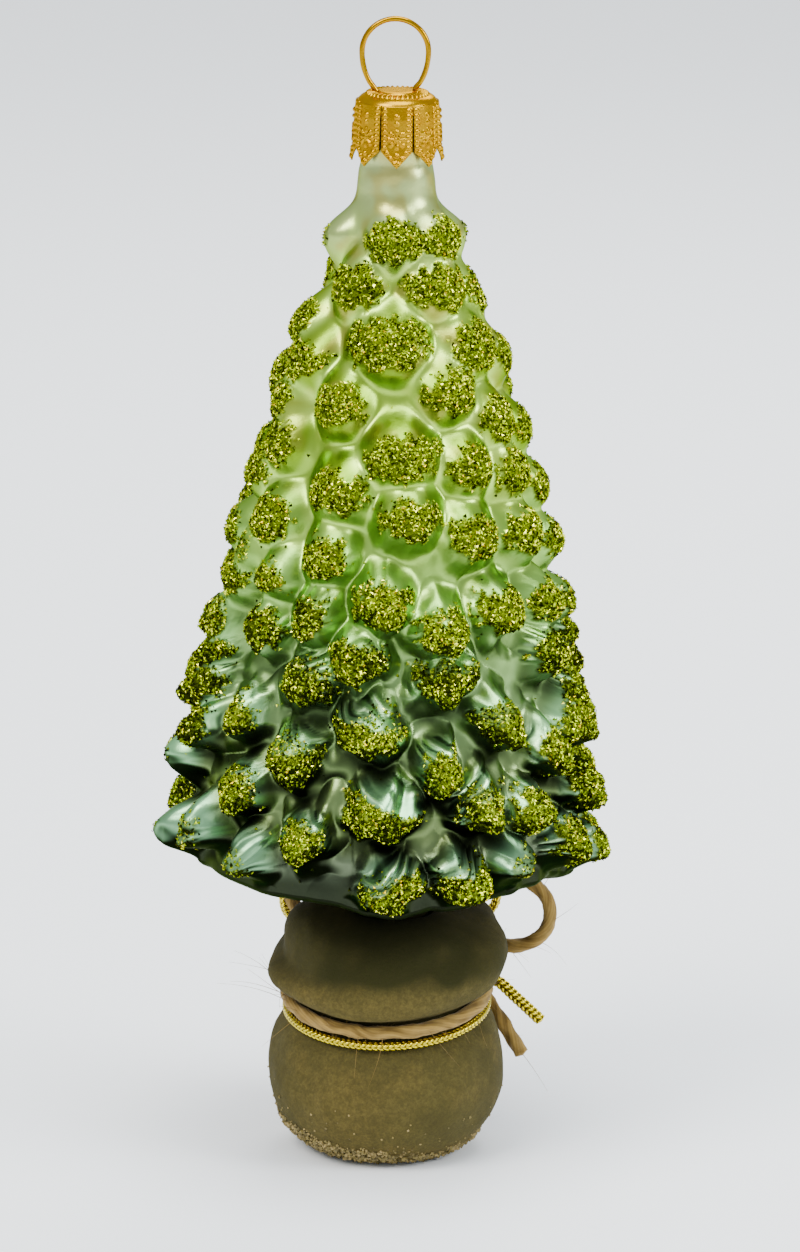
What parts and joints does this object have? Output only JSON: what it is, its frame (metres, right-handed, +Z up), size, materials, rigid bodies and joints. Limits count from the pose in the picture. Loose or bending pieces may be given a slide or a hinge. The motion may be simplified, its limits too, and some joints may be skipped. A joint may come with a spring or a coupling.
{
  "type": "glass tree ornament shaped as a potted dwarf spruce",
  "caption": "Hollow blown-glass hanging ornament in the shape of a potted cone spruce with knobbed branch tips, on a round sack tied with twine and gold cord.",
  "frame": {"origin": "centre of the flat foot under the sack", "axes": "+Z up the figure's axis to the hanging ring, -Y to the front, +X to the right of someone who faces it"},
  "size_m": [0.0688, 0.0687, 0.1775],
  "materials": {
    "lacquered_crown": "satin lacquer over silvered glass, light green",
    "lacquered_skirt": "satin lacquer over silvered glass, deep green",
    "silvered_neck": "satin, silvered inside",
    "trunk_glass": "matte dark green-brown spray",
    "cap_metal": "bright stamped brass",
    "sack_flock": "matte flock, grit at the foot",
    "jute_twine": "rough twisted fibre",
    "gold_braid": "braided metallised thread",
    "glitter": "flakes of glitter on the branch tips",
    "foot_grit": "coarse sand"
  },
  "bodies": {
    "root": {"branch_tier_01": "lacquered_skirt", "branch_tier_02": "lacquered_skirt", "branch_tier_03": "lacquered_skirt", "branch_tier_04": "lacquered_skirt", "branch_tier_05": "lacquered_skirt", "branch_tier_06": "lacquered_crown", "branch_tier_07": "lacquered_crown", "branch_tier_08": "lacquered_crown", "branch_tier_09": "lacquered_crown", "branch_tier_10": "lacquered_crown", "glass_neck": "silvered_neck", "petal_cap": "cap_metal", "hanging_ring": "cap_metal", "root_ball": "sack_flock", "sack_collar": "sack_flock", "short_trunk": "trunk_glass", "jute_band": "jute_twine", "jute_knot": "jute_twine", "jute_loop_left": "jute_twine", "jute_loop_right": "jute_twine", "jute_tail_left": "jute_twine", "jute_tail_right": "jute_twine", "gold_band": "gold_braid", "gold_knot": "gold_braid", "gold_loop_left": "gold_braid", "gold_loop_right": "gold_braid", "gold_tail_left": "gold_braid", "gold_tail_right": "gold_braid"}
  },
  "joints": []
}
